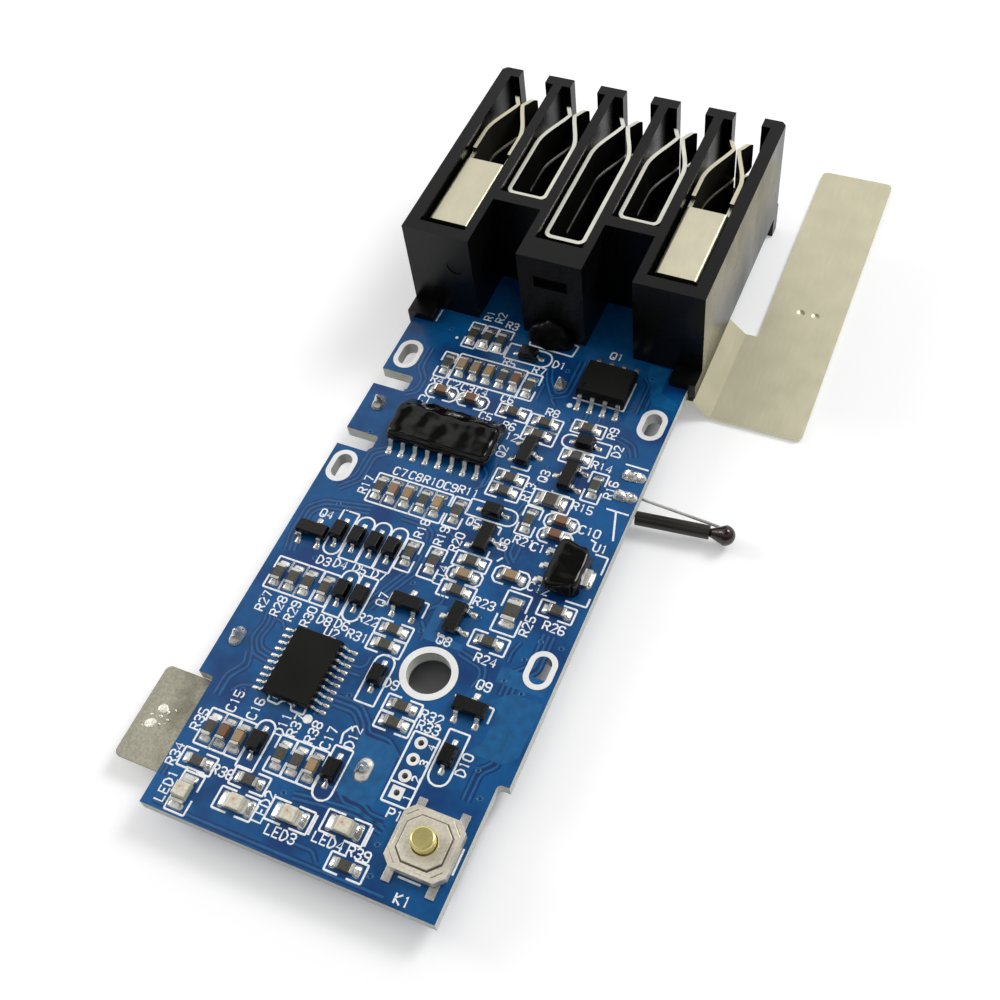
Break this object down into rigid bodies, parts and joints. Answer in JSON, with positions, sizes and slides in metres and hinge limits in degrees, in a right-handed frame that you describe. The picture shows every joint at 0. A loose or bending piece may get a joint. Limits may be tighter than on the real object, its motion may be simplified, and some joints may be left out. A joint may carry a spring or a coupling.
{
  "type": "battery management board",
  "caption": "Blue battery management board with a black castellated fork-terminal block, two nickel strips, a bead thermistor and a push button.",
  "frame": {"origin": "centre of the screw hole in the circuit board, at its component face", "axes": "+Z out of the component face, +Y towards the terminal block, +X towards the long nickel strip's side"},
  "size_m": [0.0435, 0.0901, 0.0139],
  "materials": {
    "solder_mask_board": "satin",
    "tinned_copper": "satin",
    "glass_filled_nylon": "satin",
    "tin_plated_bronze": "bright",
    "nickel_strip": "satin",
    "bead_resin": "gloss",
    "sleeve_plastic": "satin",
    "package_epoxy": "satin",
    "coating_epoxy": "gloss",
    "resistor_glaze": "gloss",
    "ceramic": "satin",
    "led_laminate": "satin",
    "led_lens": "gloss",
    "switch_resin": "satin",
    "switch_steel": "bright",
    "switch_brass": "satin",
    "solder": "bright",
    "sealant": "satin"
  },
  "bodies": {
    "board": {"circuit_board": "solder_mask_board", "plated_slots": "tinned_copper", "screw_hole_land": "tinned_copper", "header_pads": "tinned_copper", "terminal_block": "glass_filled_nylon", "power_contact_left": "tin_plated_bronze", "signal_contact_left": "tin_plated_bronze", "signal_contact_middle": "tin_plated_bronze", "signal_contact_right": "tin_plated_bronze", "power_contact_right": "tin_plated_bronze", "right_nickel_strip": "nickel_strip", "left_nickel_tab": "nickel_strip", "thermistor_bead": "bead_resin", "thermistor_sleeve": "sleeve_plastic", "thermistor_leads": "tinned_copper", "thermistor_joints": "solder", "mosfet_body": "package_epoxy", "mosfet_leads": "tinned_copper", "monitor_body": "package_epoxy", "monitor_leads": "tinned_copper", "monitor_coating": "coating_epoxy", "controller_body": "package_epoxy", "controller_leads": "tinned_copper", "regulator_body": "package_epoxy", "regulator_leads": "tinned_copper", "regulator_coating": "coating_epoxy", "transistor_body_1": "package_epoxy", "transistor_body_2": "package_epoxy", "transistor_body_3": "package_epoxy", "transistor_body_4": "package_epoxy", "transistor_body_5": "package_epoxy", "transistor_body_6": "package_epoxy", "transistor_body_7": "package_epoxy", "transistor_leads": "tinned_copper", "diode_bodies": "package_epoxy", "diode_leads": "tinned_copper", "resistor_bodies": "resistor_glaze", "resistor_ends": "tinned_copper", "sense_resistor_bodies": "resistor_glaze", "sense_resistor_ends": "tinned_copper", "capacitor_bodies": "ceramic", "capacitor_ends": "tinned_copper", "led_base": "led_laminate", "led_ends": "tinned_copper", "led_lens_1": "led_lens", "led_lens_2": "led_lens", "led_lens_3": "led_lens", "led_lens_4": "led_lens", "switch_base": "switch_resin", "switch_terminals": "tinned_copper", "switch_dome": "switch_steel", "switch_cover": "switch_steel", "solder_joints": "solder", "adhesive_dab": "sealant"},
    "button": {"switch_button": "switch_brass"}
  },
  "joints": [
    {"name": "button_press", "type": "slide", "parent": "board", "child": "button", "axis": [0, 0, -1], "range_m": [0, 0.00025], "stiffness_N_per_m": 8000}
  ]
}
